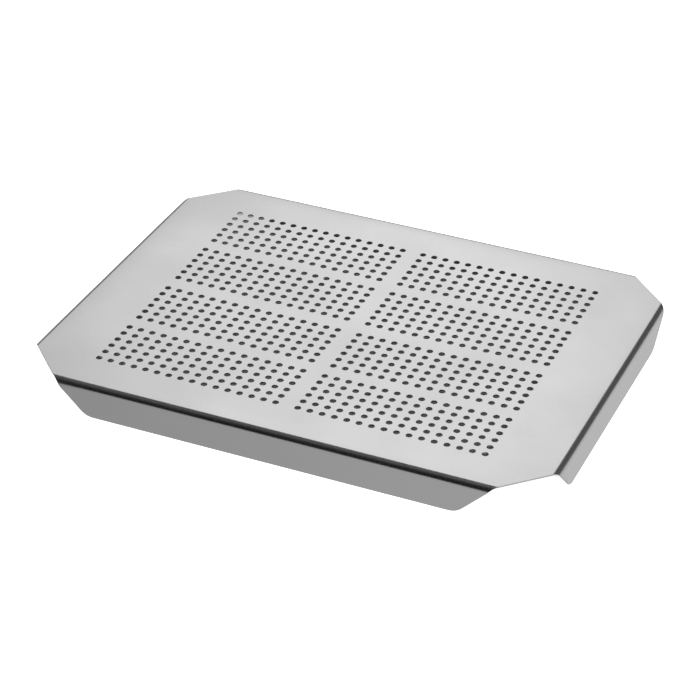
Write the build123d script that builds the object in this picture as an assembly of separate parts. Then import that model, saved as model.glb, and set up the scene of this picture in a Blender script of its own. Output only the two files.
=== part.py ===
from build123d import *
import math
import os

# Perforated bakery tray, folded from one sheet of stainless steel: a flat deck with eight
# blocks of round holes, and a flange folded down along each of its four sides.
# Millimetres, +Z up. The origin is the centre of the footprint, on the surface that the
# flanges stand on. X runs along the long sides, and the front flange faces -Y.

# Outside sizes
tray_length = 433.0
tray_width = 333.0
tray_height = 28.0
sheet_thickness = 1.0
bend_radius = 5.0  # outside of the fold
corner_leg = 40.0  # what the 45 degree cut takes off each corner of the outside rectangle
flange_corner_radius = 15.0

# Perforations: blocks of holes on a square pitch, with plain strips between the blocks.
# The whole field was punched a little off the middle of the sheet.
hole_diameter = 5.0
hole_pitch = 10.0
block_columns = 2
block_rows = 4
holes_along_block = 16
holes_across_block = 6
middle_strip = 18.2  # between the hole centres on both sides of the strip
outer_strip = 16.4
field_offset = (-1.0, -1.1)

# The fold, as quarter rings about an axis inside the tray
inner_bend_radius = bend_radius - sheet_thickness
neutral_radius = bend_radius - sheet_thickness / 2
bend_allowance = neutral_radius * math.pi / 2
bend_axis_height = tray_height - bend_radius

# The straight 45 degree cut across each corner of the flat sheet: |x| + |y| is this sum
corner_cut_sum = (tray_length + tray_width) / 2 - corner_leg
deck_half_length = tray_length / 2 - bend_radius
deck_half_width = tray_width / 2 - bend_radius

# How far the tool that trims a fold's end reaches past the metal on both sides
trim_overshoot = 1.0
trim_curve_points = 7


def block_centres(count, holes_in_block):
    """Centres of the hole blocks in one direction, about the middle of the field."""
    block_span = (holes_in_block - 1) * hole_pitch
    centres = []
    for index in range(count // 2):
        centre = middle_strip / 2 + block_span / 2 + index * (block_span + outer_strip)
        centres = [-centre, *centres, centre]
    return centres


def hole_positions():
    """Where every hole of the deck is."""
    grid = GridLocations(hole_pitch, hole_pitch, holes_along_block, holes_across_block)
    places = []
    for block_x in block_centres(block_columns, holes_along_block):
        for block_y in block_centres(block_rows, holes_across_block):
            places += Pos(block_x, block_y) * Pos(*field_offset) * grid
    return places


def perforated_deck():
    """The flat octagon inside the four folds, with its holes."""
    end_x = corner_cut_sum - deck_half_width
    end_y = corner_cut_sum - deck_half_length
    corners = [
        (end_x, -deck_half_width),
        (deck_half_length, -end_y),
        (deck_half_length, end_y),
        (end_x, deck_half_width),
        (-end_x, deck_half_width),
        (-deck_half_length, end_y),
        (-deck_half_length, -end_y),
        (-end_x, -deck_half_width),
    ]
    outline = make_face(Polyline(*corners, close=True))
    plate = outline - [spot * Circle(hole_diameter / 2) for spot in hole_positions()]
    return Pos(0, 0, tray_height - sheet_thickness) * extrude(plate, amount=sheet_thickness)


def fold_trim(fold_start, fold_line_end, side):
    """The surface that the corner cut becomes where the sheet is rolled round a fold."""
    edges = []
    for radius in (inner_bend_radius - trim_overshoot, bend_radius + trim_overshoot):
        points = []
        for index in range(-1, trim_curve_points + 1):
            angle = index / (trim_curve_points - 1) * math.pi / 2
            along = fold_line_end - neutral_radius * angle
            out = fold_start + radius * math.sin(angle)
            points.append((side * along, -out, bend_axis_height + radius * math.cos(angle)))
        edges.append(Spline(*points).edge())
    return Face.make_surface_from_curves(edges[0], edges[1])


def fold(fold_start, fold_line_end):
    """The quarter round between the deck and a flange, trimmed by both corner cuts."""
    ring = Circle(bend_radius) - Circle(inner_bend_radius)
    quarter = ring & Pos(bend_radius / 2, bend_radius / 2) * Rectangle(bend_radius, bend_radius)
    across = Plane(origin=(0, -fold_start, bend_axis_height), x_dir=(0, -1, 0), z_dir=(-1, 0, 0))
    bar = extrude(across * quarter, amount=fold_line_end + trim_overshoot, both=True)
    for side in (-1, 1):
        pieces = split(bar, bisect_by=fold_trim(fold_start, fold_line_end, side), keep=Keep.ALL)
        bar = max(pieces.solids(), key=lambda piece: piece.volume)
    return bar


def flange(outside, name):
    """One side folded down, standing at -Y; outside is its distance from the centre."""
    fold_start = outside - bend_radius
    fold_line_end = corner_cut_sum - fold_start
    wall_top = fold_line_end - bend_allowance
    wall_foot = wall_top - bend_axis_height
    corners = [
        (-wall_top, bend_axis_height),
        (-wall_foot, 0),
        (wall_foot, 0),
        (wall_top, bend_axis_height),
    ]
    outline = make_face(Polyline(*corners, close=True))
    feet = outline.vertices().sort_by(Axis.Y)[:2]
    outline = fillet(feet, flange_corner_radius)
    wall_plane = Plane(origin=(0, -outside, 0), x_dir=(1, 0, 0), z_dir=(0, -1, 0))
    wall = extrude(wall_plane * outline, amount=-sheet_thickness)
    side = wall + fold(fold_start, fold_line_end)
    side.label = name
    return side


flange_places = {
    "front_flange": (tray_width / 2, 0),
    "right_flange": (tray_length / 2, 90),
    "rear_flange": (tray_width / 2, 180),
    "left_flange": (tray_length / 2, 270),
}

parts = {"perforated_deck": perforated_deck()}
for name, (outside, turn) in flange_places.items():
    parts[name] = Rot(0, 0, turn) * flange(outside, name)

os.makedirs("parts", exist_ok=True)
for name, shape in parts.items():
    export_step(shape, f"parts/{name}.step")
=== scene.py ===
import math

import bpy
import numpy as np
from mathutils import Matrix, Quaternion, Vector


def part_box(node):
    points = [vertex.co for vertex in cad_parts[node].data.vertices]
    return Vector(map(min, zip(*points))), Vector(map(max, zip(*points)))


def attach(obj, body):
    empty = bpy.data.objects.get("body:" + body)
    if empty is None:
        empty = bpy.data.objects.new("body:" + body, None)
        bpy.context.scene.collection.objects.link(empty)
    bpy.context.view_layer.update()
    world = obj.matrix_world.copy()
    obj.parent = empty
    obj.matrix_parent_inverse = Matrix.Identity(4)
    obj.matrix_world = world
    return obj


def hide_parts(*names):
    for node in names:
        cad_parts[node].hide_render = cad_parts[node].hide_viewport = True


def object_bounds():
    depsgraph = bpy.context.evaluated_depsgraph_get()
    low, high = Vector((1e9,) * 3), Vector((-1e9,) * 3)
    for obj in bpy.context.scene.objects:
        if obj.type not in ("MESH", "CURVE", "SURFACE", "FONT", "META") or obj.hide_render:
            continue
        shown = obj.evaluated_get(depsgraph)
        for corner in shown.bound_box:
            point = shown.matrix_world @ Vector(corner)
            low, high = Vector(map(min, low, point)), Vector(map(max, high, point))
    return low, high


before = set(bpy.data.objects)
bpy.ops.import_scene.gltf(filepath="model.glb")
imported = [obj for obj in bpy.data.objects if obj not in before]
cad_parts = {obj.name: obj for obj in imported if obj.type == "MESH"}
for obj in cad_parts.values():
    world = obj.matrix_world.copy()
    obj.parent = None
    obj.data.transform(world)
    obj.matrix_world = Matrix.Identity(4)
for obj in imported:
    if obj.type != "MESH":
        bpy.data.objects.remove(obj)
cad_low, cad_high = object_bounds()

# A perforated tray folded from one sheet of brushed stainless steel. Metres throughout.
# The sheet is described in its flat pattern, before folding: x and y as on the finished
# deck, carried on past the fold lines at the neutral fibre's length, and a depth from 0 at
# the outer face to the sheet's thickness at the inner face.

MM = 0.001

# Sizes that the CAD model settles
deck_low, deck_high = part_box("perforated_deck")
_, flange_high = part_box("front_flange")
TOP = deck_high.z
THICKNESS = deck_high.z - deck_low.z
FOLD_X = deck_high.x
FOLD_Y = deck_high.y
FOLD_RADIUS = cad_high.y - deck_high.y
CUT_SUM = flange_high.x + FOLD_Y  # |x| + |y| along the 45 degree corner cuts

# Sizes repeated from the design
HOLE_RADIUS = 2.5 * MM
HOLE_PITCH = 10.0 * MM
HOLES_IN_BLOCK = (16, 6)
BLOCKS = (2, 4)
MIDDLE_STRIP = 18.2 * MM  # between the hole centres of two blocks
OUTER_STRIP = 16.4 * MM
FIELD_OFFSET = (-1.0 * MM, -1.1 * MM)  # of all the holes from the deck's centre
FLANGE_CORNER_RADIUS = 15.0 * MM

# Finish of the sheet's edges, and the deck's shape between its stiff folds
EDGE_ROUND = 0.18 * MM
ROLL_WIDTH = 0.25 * MM  # of the punched holes' upper edges
ROLL_DEPTH = 0.1 * MM
ROLL_TILT = math.radians(50)
DECK_SAG = 2.6 * MM
SAG_POWER = 16  # a higher power keeps the slope up until nearer the folds
FLAT_STRIP = 2.0 * MM  # of the deck, carried by each flange piece ahead of its fold
FLARE_LENGTH = 13.0 * MM  # how far in from its free ends a fold is still looser

NEUTRAL_RADIUS = FOLD_RADIUS - THICKNESS / 2
FOLD_LENGTH = NEUTRAL_RADIUS * math.pi / 2
DIAGONAL = math.sqrt(2)

# Mesh density
HOLE_SIDES = 24
FOLD_STEPS = 30
FOLD_MARGIN = 2.6 * MM  # past the fold's plain length, for its looser ends
EDGE_STEPS = 3
CORNER_STEPS = 10
WALL_STEPS = 6
CUT_STEPS = 8
FLANGE_COLUMNS = 44
NUDGE = 0.01 * MM  # step for measuring a surface's slope
WELD_GRID = 1e-6  # metres; points in one cell of this grid become one
WELD_SHIFT = 0.37e-6  # keeps round sizes off the grid's own planes
KEY_BITS = 21  # of each coordinate, counted in grid cells


# ---------------------------------------------------------------- mesh building


class Skin:
    """The faces of one closed piece, gathered patch by patch with their corner normals."""

    def __init__(self):
        self.patches = []

    def add(self, points, normals, flat):
        """Faces with one number of corners: arrays (faces, corners, 3), or 2 for the pattern."""
        edge_a = points[:, 1] - points[:, 0]
        edge_b = points[:, -1] - points[:, 0]
        turned = (np.cross(edge_a, edge_b) * normals.mean(1)).sum(1) < 0
        for block in (points, normals, flat):
            block[turned] = block[turned, ::-1]
        self.patches.append((points, normals, flat))

    def grid(self, points, normals, flat):
        """Quads over arrays (rows, columns, 3)."""
        corners = []
        for block in (points, normals, flat):
            quad = (block[:-1, :-1], block[1:, :-1], block[1:, 1:], block[:-1, 1:])
            corners.append(np.stack(quad, 2).reshape(-1, 4, block.shape[-1]))
        self.add(*corners)

    def piece(self, name, material):
        """The welded mesh object."""
        points = np.concatenate([p.reshape(-1, 3) for p, _, _ in self.patches])
        normals = np.concatenate([n.reshape(-1, 3) for _, n, _ in self.patches])
        flat = np.concatenate([f.reshape(-1, 2) for _, _, f in self.patches])
        sizes = np.concatenate([np.full(len(p), p.shape[1]) for p, _, _ in self.patches])
        keys = np.floor((points + WELD_SHIFT) / WELD_GRID).astype(np.int64) + (1 << (KEY_BITS - 1))
        packed = (keys[:, 0] << (2 * KEY_BITS)) | (keys[:, 1] << KEY_BITS) | keys[:, 2]
        _, first, index = np.unique(packed, return_index=True, return_inverse=True)
        mesh = bpy.data.meshes.new(name)
        mesh.vertices.add(len(first))
        mesh.vertices.foreach_set("co", points[first].astype(np.float32).ravel())
        mesh.loops.add(len(index))
        mesh.loops.foreach_set("vertex_index", index.astype(np.int32))
        mesh.polygons.add(len(sizes))
        starts = np.concatenate([[0], np.cumsum(sizes)[:-1]])
        mesh.polygons.foreach_set("loop_start", starts.astype(np.int32))
        mesh.update(calc_edges=True)
        pattern = mesh.attributes.new("pattern", "FLOAT_VECTOR", "CORNER")
        rows = np.zeros((len(index), 3), np.float32)
        rows[:, :2] = flat
        pattern.data.foreach_set("vector", rows.ravel())
        mesh.normals_split_custom_set([tuple(n) for n in unit(normals)])
        mesh.materials.append(material)
        return add_object(name, mesh)


def add_object(name, data):
    added = bpy.data.objects.new(name, data)
    bpy.context.scene.collection.objects.link(added)
    return added


def unit(vectors):
    return vectors / np.linalg.norm(vectors, axis=-1, keepdims=True)


def sunk(points, normals, depth):
    """Points of the outer face moved to a depth in the sheet."""
    return points - normals * np.expand_dims(np.broadcast_to(depth, points.shape[:-1]), -1)


def edge_profile():
    """Round a cut edge from the outer face to the inner one: (inset, depth, outward, up)."""
    rings = []
    for step in range(EDGE_STEPS + 1):
        angle = step / EDGE_STEPS * math.pi / 2
        inset = EDGE_ROUND * (1 - math.sin(angle))
        depth = EDGE_ROUND * (1 - math.cos(angle))
        rings.append((inset, depth, math.sin(angle), math.cos(angle)))
    mirrored = [(inset, THICKNESS - depth, out, -up) for inset, depth, out, up in rings]
    return rings + mirrored[::-1]


# ---------------------------------------------------------------- the deck


def sag_share(u):
    """1 in the middle of the deck and 0 at a fold, level at both."""
    return 1 - u**2 * ((SAG_POWER + 2) - 2 * np.abs(u) ** SAG_POWER) / SAG_POWER


def sag_slope(u):
    return -2 * u * (SAG_POWER + 2) / SAG_POWER * (1 - np.abs(u) ** SAG_POWER)


def deck_surface(x, y, depth):
    """Points and outer normals of the sagging deck, for arrays of pattern places."""
    half_x = FOLD_X - FLAT_STRIP
    half_y = FOLD_Y - FLAT_STRIP
    u = x / half_x
    v = y / half_y
    rise = -DECK_SAG * sag_share(u) * sag_share(v)
    slope_x = -DECK_SAG * sag_slope(u) * sag_share(v) / half_x
    slope_y = -DECK_SAG * sag_share(u) * sag_slope(v) / half_y
    normal = unit(np.stack([-slope_x, -slope_y, np.ones_like(slope_x)], -1))
    outer = np.stack([x, y, TOP + rise], -1)
    return sunk(outer, normal, depth), normal


def block_centres(count, holes):
    span = (holes - 1) * HOLE_PITCH
    centres = []
    for index in range(count // 2):
        centre = MIDDLE_STRIP / 2 + span / 2 + index * (span + OUTER_STRIP)
        centres = [-centre, *centres, centre]
    return centres


def hole_lines(axis):
    """Hole centres along one axis."""
    holes = HOLES_IN_BLOCK[axis]
    places = []
    for centre in block_centres(BLOCKS[axis], holes):
        for index in range(holes):
            offset = (index - (holes - 1) / 2) * HOLE_PITCH
            places.append(centre + offset + FIELD_OFFSET[axis])
    return places


def cell_offsets():
    """Where the grid lines of one hole's square cell run, to meet the hole's own corners."""
    quarter = HOLE_SIDES // 8
    steps = [math.tan(math.pi / 4 * k / quarter) for k in range(-quarter, quarter + 1)]
    return [step * HOLE_PITCH / 2 for step in steps]


def deck_lines(axis, seam, cut_start):
    """All grid lines of the deck along one axis, from seam to seam."""
    lines = [-seam + (seam - cut_start) * k / CUT_STEPS for k in range(CUT_STEPS + 1)]
    lines += [-line for line in lines]
    for place in hole_lines(axis):
        lines += [place + offset for offset in cell_offsets()]
    lines = sorted(lines)
    kept = [lines[0]]
    for line in lines[1:]:
        if line - kept[-1] > WELD_GRID:
            kept.append(line)
    return np.array(kept)


def in_cells(middles, axis):
    """Which grid intervals lie in a hole's cell."""
    places = np.array(hole_lines(axis))
    return (np.abs(middles[:, None] - places[None, :]) < HOLE_PITCH / 2).any(1)


def deck_face(skin, seam_x, seam_y, depth, side):
    """The plain parts of one face of the deck: everything outside the holes' cells."""
    reach = CUT_SUM - DIAGONAL * EDGE_ROUND
    xs = deck_lines(0, seam_x, reach - seam_y)
    ys = deck_lines(1, seam_y, reach - seam_x)
    mid_x = (xs[1:] + xs[:-1]) / 2
    mid_y = (ys[1:] + ys[:-1]) / 2
    plain = ~(in_cells(mid_x, 0)[:, None] & in_cells(mid_y, 1)[None, :])
    out = np.abs(mid_x)[:, None] + np.abs(mid_y)[None, :] - reach
    quads = plain & (out < -WELD_GRID)
    halves = plain & (np.abs(out) <= WELD_GRID)
    i, j = np.nonzero(quads)
    corner_x = np.stack([xs[i], xs[i + 1], xs[i + 1], xs[i]], -1)
    corner_y = np.stack([ys[j], ys[j], ys[j + 1], ys[j + 1]], -1)
    add_deck_faces(skin, corner_x, corner_y, depth, side)
    i, j = np.nonzero(halves)
    near_x = np.where(mid_x[i] > 0, xs[i], xs[i + 1])
    far_x = np.where(mid_x[i] > 0, xs[i + 1], xs[i])
    near_y = np.where(mid_y[j] > 0, ys[j], ys[j + 1])
    far_y = np.where(mid_y[j] > 0, ys[j + 1], ys[j])
    corner_x = np.stack([near_x, far_x, near_x], -1)
    corner_y = np.stack([near_y, near_y, far_y], -1)
    add_deck_faces(skin, corner_x, corner_y, depth, side)
    return xs, ys


def add_deck_faces(skin, x, y, depth, side):
    points, normals = deck_surface(x, y, depth)
    skin.add(points, normals * side, np.stack([x, y], -1))


def punched_holes(skin):
    """Every hole's cell: the face round it, its rolled edge, its wall and the underside."""
    angles = np.arange(HOLE_SIDES) / HOLE_SIDES * 2 * math.pi
    cosines, sines = np.cos(angles), np.sin(angles)
    square = HOLE_PITCH / 2 / np.maximum(np.abs(cosines), np.abs(sines))
    rim = np.full(HOLE_SIDES, HOLE_RADIUS)
    centre_x, centre_y = np.meshgrid(hole_lines(0), hole_lines(1), indexing="ij")
    # radius, depth, and how much the normal looks up and into the hole
    rings = [
        ((square, 0, 1, 0), (rim + ROLL_WIDTH, 0, 1, 0)),
        ((rim + ROLL_WIDTH, 0, 1, 0), (rim, ROLL_DEPTH, math.cos(ROLL_TILT), math.sin(ROLL_TILT))),
        ((rim, ROLL_DEPTH, 0, 1), (rim, THICKNESS, 0, 1)),
        ((rim, THICKNESS, -1, 0), (square, THICKNESS, -1, 0)),
    ]
    for pair in rings:
        sides = []
        for radius, depth, up, inward in pair:
            x = centre_x.reshape(-1, 1) + radius * cosines
            y = centre_y.reshape(-1, 1) + radius * sines
            points, normals = deck_surface(x, y, np.full_like(x, depth))
            into_hole = np.stack([-cosines, -sines, np.zeros_like(sines)], -1)
            sides.append((points, normals * up + into_hole * inward, np.stack([x, y], -1)))
        corners = []
        for first, second in zip(*sides):
            quad = (first, np.roll(first, -1, 1), np.roll(second, -1, 1), second)
            corners.append(np.stack(quad, 2).reshape(-1, 4, first.shape[-1]))
        skin.add(*corners)


def cut_line(seam_x, seam_y, inset):
    """A corner cut's points, from one seam to the other, for one inset of the edge."""
    slide = EDGE_ROUND - inset
    start = CUT_SUM - DIAGONAL * EDGE_ROUND - seam_y
    share = np.arange(CUT_STEPS + 1) / CUT_STEPS
    x = start + (seam_x - start) * share + slide / DIAGONAL
    y = seam_y - (seam_x - start) * share + slide / DIAGONAL
    x[0], y[0] = start + slide * DIAGONAL, seam_y
    x[-1], y[-1] = seam_x, seam_y - (seam_x - start) + slide * DIAGONAL
    return x, y


def deck_cuts(skin, seam_x, seam_y):
    """The four rounded 45 degree edges."""
    for sign_x in (-1, 1):
        for sign_y in (-1, 1):
            rows = []
            outward = np.array([sign_x, sign_y, 0]) / DIAGONAL
            for inset, depth, out, up in edge_profile():
                x, y = cut_line(seam_x, seam_y, inset)
                x, y = sign_x * x, sign_y * y
                points, normals = deck_surface(x, y, depth)
                rows.append((points, normals * up + outward * out, np.stack([x, y], -1)))
            skin.grid(*[np.stack(block) for block in zip(*rows)])


def seam_points(axis, side, seam, positions, depth):
    """Points, facing and pattern places on the narrow face along one of the deck's seams."""
    across = np.full_like(positions, side * seam)
    x, y = (positions, across) if axis == 0 else (across, positions)
    facing = (0.0, side, 0.0) if axis == 0 else (side, 0.0, 0.0)
    points, _ = deck_surface(x, y, depth)
    return points, np.broadcast_to(facing, points.shape), np.stack([x, y], -1)


def deck_seams(skin, xs, ys, seam_x, seam_y):
    """The narrow faces where the deck meets the four flanges."""
    inset, depth = np.array(edge_profile())[:, :2].T
    for axis, lines, seam in ((0, xs, seam_y), (1, ys, seam_x)):
        reach = CUT_SUM - DIAGONAL * EDGE_ROUND - seam
        along = lines[np.abs(lines) < reach + WELD_GRID]
        for side in (-1, 1):
            sheets = [seam_points(axis, side, seam, along, at) for at in (0.0, THICKNESS)]
            skin.grid(*[np.stack(block) for block in zip(*sheets)])
            for end in (-1, 1):
                tip = end * (reach + DIAGONAL * (EDGE_ROUND - inset))
                ring = seam_points(axis, side, seam, tip, depth)
                skin.add(*[block[None].copy() for block in ring])


def perforated_deck(material):
    skin = Skin()
    seam_x, seam_y = FOLD_X - FLAT_STRIP, FOLD_Y - FLAT_STRIP
    xs, ys = deck_face(skin, seam_x, seam_y, 0.0, 1)
    deck_face(skin, seam_x, seam_y, THICKNESS, -1)
    punched_holes(skin)
    deck_cuts(skin, seam_x, seam_y)
    deck_seams(skin, xs, ys, seam_x, seam_y)
    return skin.piece("deck_sheet", material)


# ---------------------------------------------------------------- the flanges


def folded(along, s, fold_line, flares):
    """The outer face's points, s past the fold line of a side that faces -Y. Towards its free
    ends the fold grows taller by the flares, left and right."""
    from_end = np.maximum(CUT_SUM - fold_line - FOLD_LENGTH / 2 - np.abs(along), 0)
    flare = np.where(along < 0, flares[0], flares[1]) * np.exp(-from_end / FLARE_LENGTH)
    drop = FOLD_RADIUS + flare
    arc = (FOLD_RADIUS + drop - THICKNESS) * math.pi / 4
    turned = np.clip(s / arc, 0, 1) * math.pi / 2
    out = fold_line + np.minimum(s, 0) + FOLD_RADIUS * np.sin(turned)
    past = np.maximum(s - arc, 0) / (FOLD_LENGTH + TOP - FOLD_RADIUS - arc)
    height = TOP - drop * (1 - np.cos(turned)) - (TOP - drop) * past
    return np.stack([along, -out, height], -1)


def flange_surface(along, s, depth, fold_line, flares, turn):
    """Points, outer normals and the sheet's own two directions on a folded side."""
    side = (fold_line, flares)
    down = folded(along, s + NUDGE, *side) - folded(along, s - NUDGE, *side)
    sideways = folded(along + NUDGE, s, *side) - folded(along - NUDGE, s, *side)
    normals = unit(np.cross(down, sideways))
    points = sunk(folded(along, s, *side), normals, depth)
    pattern = np.stack([along, -(fold_line + s)], -1)
    blocks = (points, normals, unit(down), unit(sideways), pattern)
    return tuple(rotate(block, turn) for block in blocks)


def rotate(block, turn):
    """Turned about Z by whole quarter turns."""
    c, s = round(math.cos(turn)), round(math.sin(turn))
    spun = block.copy()
    spun[..., 0] = c * block[..., 0] - s * block[..., 1]
    spun[..., 1] = s * block[..., 0] + c * block[..., 1]
    return spun


def flange_rows(fold_line, inset):
    """Rows of a flange down the pattern: s, half width, and the edge's outward direction."""
    foot = FOLD_LENGTH + TOP - FOLD_RADIUS
    reach = CUT_SUM - fold_line
    centre_s = foot - FLANGE_CORNER_RADIUS
    centre_u = reach - centre_s - DIAGONAL * FLANGE_CORNER_RADIUS
    arc_start = centre_s + FLANGE_CORNER_RADIUS / DIAGONAL
    rows = [-FLAT_STRIP]
    fold_end = FOLD_LENGTH + FOLD_MARGIN
    rows += [fold_end * k / FOLD_STEPS for k in range(FOLD_STEPS + 1)]
    rows += [fold_end + (arc_start - fold_end) * k / WALL_STEPS for k in range(1, WALL_STEPS)]
    table = [(s, reach - s - DIAGONAL * inset, 1 / DIAGONAL, 1 / DIAGONAL) for s in rows]
    radius = FLANGE_CORNER_RADIUS - inset
    for step in range(CORNER_STEPS + 1):
        angle = math.pi / 4 * (1 + step / CORNER_STEPS)
        c, s = math.cos(angle), math.sin(angle)
        table.append((centre_s + radius * s, centre_u + radius * c, c, s))
    return np.array(table)


def flange(name, fold_line, turn, flares, material):
    """One folded side, closed, with rounded cut edges and a flat strip to meet the deck."""
    skin = Skin()
    share = np.sin(np.linspace(-1, 1, FLANGE_COLUMNS + 1) * math.pi / 2)
    for depth, side in ((0.0, 1), (THICKNESS, -1)):
        rows = flange_rows(fold_line, EDGE_ROUND)
        s = np.repeat(rows[:, 0:1], len(share), 1)
        along = rows[:, 1:2] * share
        points, normals, _, _, pattern = flange_surface(along, s, depth, fold_line, flares, turn)
        skin.grid(points, normals * side, pattern)
    rings = []
    for inset, depth, out, up in edge_profile():
        rows = flange_rows(fold_line, inset)
        inner = share[1:-1]
        s = np.concatenate([rows[:, 0], np.full(len(inner), rows[-1, 0]), rows[::-1, 0]])
        along = np.concatenate([-rows[:, 1], rows[-1, 1] * inner, rows[::-1, 1]])
        aside = np.concatenate([-rows[:, 2], np.zeros(len(inner)), rows[::-1, 2]])
        below = np.concatenate([rows[:, 3], np.ones(len(inner)), rows[::-1, 3]])
        surface = flange_surface(along, s, depth, fold_line, flares, turn)
        points, normals, down, sideways, pattern = surface
        outward = sideways * aside[:, None] + down * below[:, None]
        rings.append((points, normals * up + outward * out, pattern))
    skin.grid(*[np.stack(block) for block in zip(*rings)])
    flange_seam(skin, fold_line, turn, flares, share)
    return skin.piece(name, material)


def flange_seam(skin, fold_line, turn, flares, share):
    """The narrow face where a flange meets the deck."""
    start = flange_rows(fold_line, EDGE_ROUND)[0, 1]

    def place(along, depth):
        s = np.full_like(along, -FLAT_STRIP)
        points, _, down, _, pattern = flange_surface(along, s, depth, fold_line, flares, turn)
        return points, -down, pattern

    sheets = [place(start * share, 0.0), place(start * share, THICKNESS)]
    skin.grid(*[np.stack(block) for block in zip(*sheets)])
    profile = np.array(edge_profile())
    for end in (-1, 1):
        widths = end * (start + DIAGONAL * (EDGE_ROUND - profile[:, 0]))
        ring = place(widths, profile[:, 1])
        skin.add(*[block[None].copy() for block in ring])


# ---------------------------------------------------------------- materials

WHITE = (1.0, 1.0, 1.0, 1.0)
BLACK = (0.0, 0.0, 0.0, 1.0)

STEEL_COLOUR = (0.56, 0.56, 0.56, 1.0)
# Noise on the sheet's pattern: stretch along and across the brushing, scale, detail
FINE_LINES = (0.04, 1.0, 4000.0, 3.0)
LONG_LINES = (0.02, 1.0, 900.0, 4.0)
SMUDGES = (1.0, 1.0, 14.0, 3.0)
NOISE_RANGE = (0.3, 0.7)
LINE_TONES = (0.99, 1.01)
SMUDGE_TONES = (0.985, 1.015)
STEEL_ROUGHNESS = (0.25, 0.28)
LINE_STRENGTH = 0.1
LINE_HEIGHT = 0.02 * MM

FLOOR_TONE = 0.8
FLOOR_ROUGHNESS = 0.9
FLOOR_GLOW = 0.8
# Painted shade under the tray: the floor's colour and glow there, and the faint glow of the dark
# card that the steel mirrors.
SHADE_TONE = 0.41
SHADE_GLOW = 0.015
MIRRORED_SHADE = 0.05
# Where the painted shade under the tray gives way to the floor's full tone and glow: a direction
# on the floor, and the shade's end and the full light's start along it. First the four sides, then
# the open corners, where painted light reaches in under the tray.
SHADE_EDGES = (
    (1, 0, cad_high.x - THICKNESS, cad_high.x),
    (0, -1, cad_high.y - THICKNESS, cad_high.y),
    (-1, 0, cad_high.x + 2 * MM, cad_high.x + 16 * MM),
    (0, 1, cad_high.y + 16 * MM, cad_high.y + 38 * MM),
    (1, -1, 245 * MM, 280 * MM),
    (-1, -1, 285 * MM, 316 * MM),
    (1, 1, 340 * MM, 364 * MM),
    (1, 0.23, 222 * MM, 236 * MM),
    (-1, 1, 322 * MM, 398 * MM),
)


class Tree:
    """The node tree of a material or a world, with short ways to add nodes to it."""

    def __init__(self, owner):
        owner.use_nodes = True
        self.nodes = owner.node_tree.nodes
        self.link = owner.node_tree.links.new

    def ranged(self, source, from_range, to_range, smooth=False):
        """The source carried from one range of values to another, and clamped."""
        remap = self.nodes.new("ShaderNodeMapRange")
        remap.interpolation_type = "SMOOTHSTEP" if smooth else "LINEAR"
        sockets = ("From Min", "From Max", "To Min", "To Max")
        for socket, value in zip(sockets, (*from_range, *to_range)):
            remap.inputs[socket].default_value = value
        self.link(source, remap.inputs["Value"])
        return remap.outputs["Result"]

    def calculated(self, operation, *sources):
        node = self.nodes.new("ShaderNodeMath")
        node.operation = operation
        for socket, source in zip(node.inputs, sources):
            self.link(source, socket)
        return node.outputs["Value"]

    def along(self, source, vector):
        """How far the source reaches along a vector."""
        dot = self.nodes.new("ShaderNodeVectorMath")
        dot.operation = "DOT_PRODUCT"
        dot.inputs[1].default_value = vector
        self.link(source, dot.inputs[0])
        return dot.outputs["Value"]

    def noise(self, source, along, across, scale, detail):
        mapping = self.nodes.new("ShaderNodeMapping")
        mapping.inputs["Scale"].default_value = (along, across, 1.0)
        self.link(source, mapping.inputs["Vector"])
        texture = self.nodes.new("ShaderNodeTexNoise")
        texture.inputs["Scale"].default_value = scale
        texture.inputs["Detail"].default_value = detail
        self.link(mapping.outputs["Vector"], texture.inputs["Vector"])
        return texture.outputs["Fac"]


def new_material(name):
    """A material, its tree and its shader."""
    material = bpy.data.materials.new(name)
    tree = Tree(material)
    return material, tree, tree.nodes["Principled BSDF"]


def brushed_steel():
    """Satin stainless sheet: lines too fine to see from afar, and faint wiped smudges."""
    material, tree, shader = new_material("brushed_stainless")
    shader.inputs["Metallic"].default_value = 1.0
    pattern = tree.nodes.new("ShaderNodeAttribute")
    pattern.attribute_name = "pattern"
    fine_lines = tree.noise(pattern.outputs["Vector"], *FINE_LINES)
    long_lines = tree.noise(pattern.outputs["Vector"], *LONG_LINES)
    smudges = tree.noise(pattern.outputs["Vector"], *SMUDGES)

    line_tone = tree.ranged(long_lines, NOISE_RANGE, LINE_TONES)
    smudge_tone = tree.ranged(smudges, NOISE_RANGE, SMUDGE_TONES)
    colour = tree.nodes.new("ShaderNodeMix")
    colour.data_type = "RGBA"
    colour.blend_type = "MULTIPLY"
    colour.inputs["Factor"].default_value = 1.0
    colour.inputs["A"].default_value = STEEL_COLOUR
    tree.link(tree.calculated("MULTIPLY", line_tone, smudge_tone), colour.inputs["B"])
    tree.link(colour.outputs["Result"], shader.inputs["Base Color"])
    roughness = tree.ranged(smudges, NOISE_RANGE, STEEL_ROUGHNESS)
    tree.link(roughness, shader.inputs["Roughness"])

    bump = tree.nodes.new("ShaderNodeBump")
    bump.inputs["Strength"].default_value = LINE_STRENGTH
    bump.inputs["Distance"].default_value = LINE_HEIGHT
    tree.link(fine_lines, bump.inputs["Height"])
    tree.link(bump.outputs["Normal"], shader.inputs["Normal"])
    return material


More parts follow.
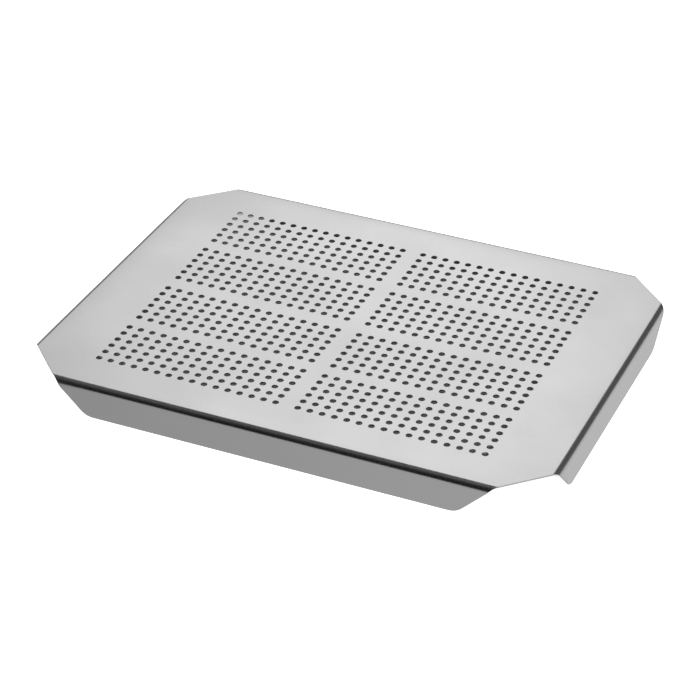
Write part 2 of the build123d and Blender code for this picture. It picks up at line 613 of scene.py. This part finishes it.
def floor_material():
    """Pale and glowing a little, with painted shade under the tray: its colour and glow are
    darkened there by place on the floor, and lifted again by painted light under the open corners.
    """
    material, tree, shader = new_material("pale_floor")
    shader.inputs["Roughness"].default_value = FLOOR_ROUGHNESS
    shader.inputs["Specular IOR Level"].default_value = 0.0
    where = tree.nodes.new("ShaderNodeTexCoord").outputs["Object"]
    light = None
    for side_x, side_y, *edge in SHADE_EDGES:
        past = tree.ranged(tree.along(where, (side_x, side_y, 0.0)), edge, (0.0, 1.0), smooth=True)
        light = past if light is None else tree.calculated("MAXIMUM", light, past)
    # painted shade and light: the floor's tone and glow follow the mask, dark under the tray
    tone = tree.ranged(light, (0.0, 1.0), (SHADE_TONE, FLOOR_TONE))
    glow = tree.ranged(light, (0.0, 1.0), (SHADE_GLOW, FLOOR_GLOW))
    tree.link(tone, shader.inputs["Base Color"])
    shader.inputs["Emission Color"].default_value = WHITE
    tree.link(glow, shader.inputs["Emission Strength"])
    return material


# A black card glowing faintly: painted shade under the tray, seen only in the steel.
def shade_material():
    material, _, shader = new_material("shade")
    shader.inputs["Base Color"].default_value = BLACK
    shader.inputs["Specular IOR Level"].default_value = 0.0
    shader.inputs["Emission Color"].default_value = WHITE
    shader.inputs["Emission Strength"].default_value = MIRRORED_SHADE
    return material


# ---------------------------------------------------------------- the tray's pieces

steel = brushed_steel()
pieces = {"perforated_deck": perforated_deck(steel)}
# fold line, turn about Z, and the fold's flares at its left and right ends seen from outside
flange_places = {
    "front_flange": (FOLD_Y, 0.0, (3.4 * MM, 1.0 * MM)),
    "right_flange": (FOLD_X, math.pi / 2, (1.2 * MM, 1.8 * MM)),
    "rear_flange": (FOLD_Y, math.pi, (1.5 * MM, 1.5 * MM)),
    "left_flange": (FOLD_X, -math.pi / 2, (1.5 * MM, 1.5 * MM)),
}
for node, (fold_line, turn, flares) in flange_places.items():
    pieces[node] = flange(node + "_sheet", fold_line, turn, flares, steel)
for node, piece in pieces.items():
    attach(piece, "root")
    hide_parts(node)

# ---------------------------------------------------------------- floor and shade

FLOOR_HALF = 20.0
SHADE_CUT = 0.95 * CUT_SUM
SHADE_LIFT = 0.1 * MM


def flat_sheet(name, outline, height, material):
    mesh = bpy.data.meshes.new(name)
    mesh.from_pydata([(x, y, height) for x, y in outline], [], [range(len(outline))])
    mesh.materials.append(material)
    sheet = add_object(name, mesh)
    return sheet


def pale_floor():
    half = FLOOR_HALF
    outline = [(-half, -half), (half, -half), (half, half), (-half, half)]
    floor = flat_sheet("floor", outline, cad_low.z, floor_material())
    floor.visible_glossy = False


def mirrored_shade():
    """A dark card of painted shade on the floor between the flanges, for the steel alone to
    mirror.
    """
    x, y = cad_high.x - THICKNESS, cad_high.y - THICKNESS
    quarter = [(x, SHADE_CUT - x), (SHADE_CUT - y, y)]
    outline = quarter + [(-a, b) for a, b in quarter[::-1]]
    outline += [(-a, -b) for a, b in outline]
    shade = flat_sheet("shade_under_tray", outline, cad_low.z + SHADE_LIFT, shade_material())
    shade.visible_camera = False
    shade.visible_diffuse = False
    shade.visible_shadow = False


pale_floor()
mirrored_shade()

# ---------------------------------------------------------------- light

# What the steel mirrors all round, by one axis of the direction it is seen in: from where to
# where it fades, and its strength before and after. The table shows only below the horizon.
WALLS_ALONG_Y = (-0.9, 0.35), (0.003, 0.11)
TABLE_ALONG_X = (-0.58, -0.25), (0.33, 0.61)
HORIZON_ALONG_Z = (-0.02, 0.0), (1.0, 0.0)
OVERHEAD_ALONG_Z = (0.975, 0.992), (0.0, 0.45)
# Soft panels: azimuth, half width, side fade, lowest, highest, fade up and down, radiance
PANELS = {
    "key": (201.5, 12.5, 12.5, 26.9, 40.5, 5.0, 1.89),
    "low": (217.0, 10.0, 8.0, 3.0, 22.0, 5.0, 0.2),
    "left": (267.0, 25.0, 8.0, 5.0, 48.0, 5.0, 0.8),
    "right": (74.0, 46.0, 10.0, 5.0, 48.0, 6.0, 0.8),
    "dim_left": (280.0, 28.0, 10.0, 2.0, 36.0, 8.0, 0.18),
    "dim_right": (29.0, 24.0, 10.0, 2.0, 34.0, 8.0, 0.18),
}
# Round panels for the sides that the photograph doesn't show: azimuth, elevation, half width,
# radiance, and the flange that they are kept off, because its fold is dark in the photograph
ROUND_PANELS = {
    "front_panel": (338, 28, 36, 0.8, "front_flange"),
    "back_right_panel": (152, 20, 32, 0.8, "right_flange"),
}
# azimuth, elevation, strength, apparent diameter
FLOOR_LIGHT = (25, 38, 3.3, 25)


def direction(azimuth, elevation):
    """Unit vector; azimuth 0 is -Y, towards +X as it grows."""
    a, e = math.radians(azimuth), math.radians(elevation)
    return Vector((math.sin(a) * math.cos(e), -math.cos(a) * math.cos(e), math.sin(e)))


def sun(name, azimuth, elevation, strength, diameter):
    """A round soft light from far away."""
    light = bpy.data.lights.new(name, "SUN")
    light.energy = strength
    light.angle = math.radians(diameter)
    lamp = add_object(name, light)
    lamp.rotation_mode = "QUATERNION"
    lamp.rotation_quaternion = direction(azimuth, elevation).to_track_quat("Z", "Y")
    return lamp


def round_panel(name, azimuth, elevation, half_width, radiance, dark_flange):
    """A round panel that every piece mirrors but the dark flange."""
    strength = radiance * math.pi * math.sin(math.radians(half_width)) ** 2
    lamp = sun(name, azimuth, elevation, strength, 2 * half_width)
    lit = bpy.data.collections.new(name)
    for node, piece in pieces.items():
        if node != dark_flange:
            lit.objects.link(piece)
    lamp.light_linking.receiver_collection = lit


def soft_panel(tree, where, height, settings):
    """A panel of light round an azimuth, from one elevation to another, all in degrees."""
    azimuth, half_width, side_fade, low, high, level_fade, radiance = settings

    def fade(source, edge, reach, values):
        ends = (math.radians(edge - reach), math.radians(edge + reach))
        return tree.ranged(source, ends, values, smooth=True)

    across = tree.along(where, direction(azimuth + 90, 0))
    towards = tree.along(where, direction(azimuth, 0))
    aside = tree.calculated("ABSOLUTE", tree.calculated("ARCTAN2", across, towards))
    width = fade(aside, half_width, side_fade, (radiance, 0.0))
    bottom = fade(height, low, level_fade, (0.0, 1.0))
    top = fade(height, high, level_fade, (1.0, 0.0))
    return tree.calculated("MULTIPLY", width, tree.calculated("MULTIPLY", bottom, top))


def studio_world():
    """The studio that the steel mirrors: dim walls, soft panels and a grey table. The camera
    sees white."""
    world = bpy.data.worlds.new("studio")
    tree = Tree(world)
    where = tree.nodes.new("ShaderNodeTexCoord").outputs["Generated"]
    split = tree.nodes.new("ShaderNodeSeparateXYZ")
    tree.link(where, split.inputs["Vector"])
    height = tree.calculated("ARCSINE", split.outputs["Z"])

    walls = tree.ranged(split.outputs["Y"], *WALLS_ALONG_Y, smooth=True)
    table = tree.ranged(split.outputs["X"], *TABLE_ALONG_X)
    below = tree.ranged(split.outputs["Z"], *HORIZON_ALONG_Z)
    overhead = tree.ranged(split.outputs["Z"], *OVERHEAD_ALONG_Z, smooth=True)
    total = tree.calculated("ADD", walls, tree.calculated("MULTIPLY", table, below))
    total = tree.calculated("ADD", total, overhead)
    for settings in PANELS.values():
        total = tree.calculated("ADD", total, soft_panel(tree, where, height, settings))

    mirrored = tree.nodes["Background"]
    tree.link(total, mirrored.inputs["Color"])
    seen = tree.nodes.new("ShaderNodeBackground")
    seen.inputs["Color"].default_value = WHITE
    ray = tree.nodes.new("ShaderNodeLightPath")
    mix = tree.nodes.new("ShaderNodeMixShader")
    tree.link(ray.outputs["Is Camera Ray"], mix.inputs["Fac"])
    tree.link(mirrored.outputs["Background"], mix.inputs[1])
    tree.link(seen.outputs["Background"], mix.inputs[2])
    tree.link(mix.outputs["Shader"], tree.nodes["World Output"].inputs["Surface"])
    bpy.context.scene.world = world


studio_world()
floor_light = sun("floor_light", *FLOOR_LIGHT)
floor_light.visible_glossy = False
for name, settings in ROUND_PANELS.items():
    round_panel(name, *settings)
bpy.context.scene.view_settings.view_transform = "Standard"

# ---------------------------------------------------------------- camera

AIM = Vector((0.0121, -0.0373, TOP))
VIEW_AZIMUTH, VIEW_ELEVATION, VIEW_ROLL = 23.07, 32.28, 0.66
VIEW_DISTANCE = 1.876
LENS = 124.2
SENSOR_WIDTH = 36.0
CLIP_RANGE = (0.05, 100.0)


def studio_camera():
    data = bpy.data.cameras.new("camera")
    data.lens = LENS
    data.sensor_width = SENSOR_WIDTH
    data.clip_start, data.clip_end = CLIP_RANGE
    camera = add_object("camera", data)
    back = direction(VIEW_AZIMUTH, VIEW_ELEVATION)
    camera.location = AIM + back * VIEW_DISTANCE
    camera.rotation_mode = "QUATERNION"
    level = (-back).to_track_quat("-Z", "Y")
    camera.rotation_quaternion = level @ Quaternion((0, 0, 1), math.radians(VIEW_ROLL))
    bpy.context.scene.camera = camera


studio_camera()
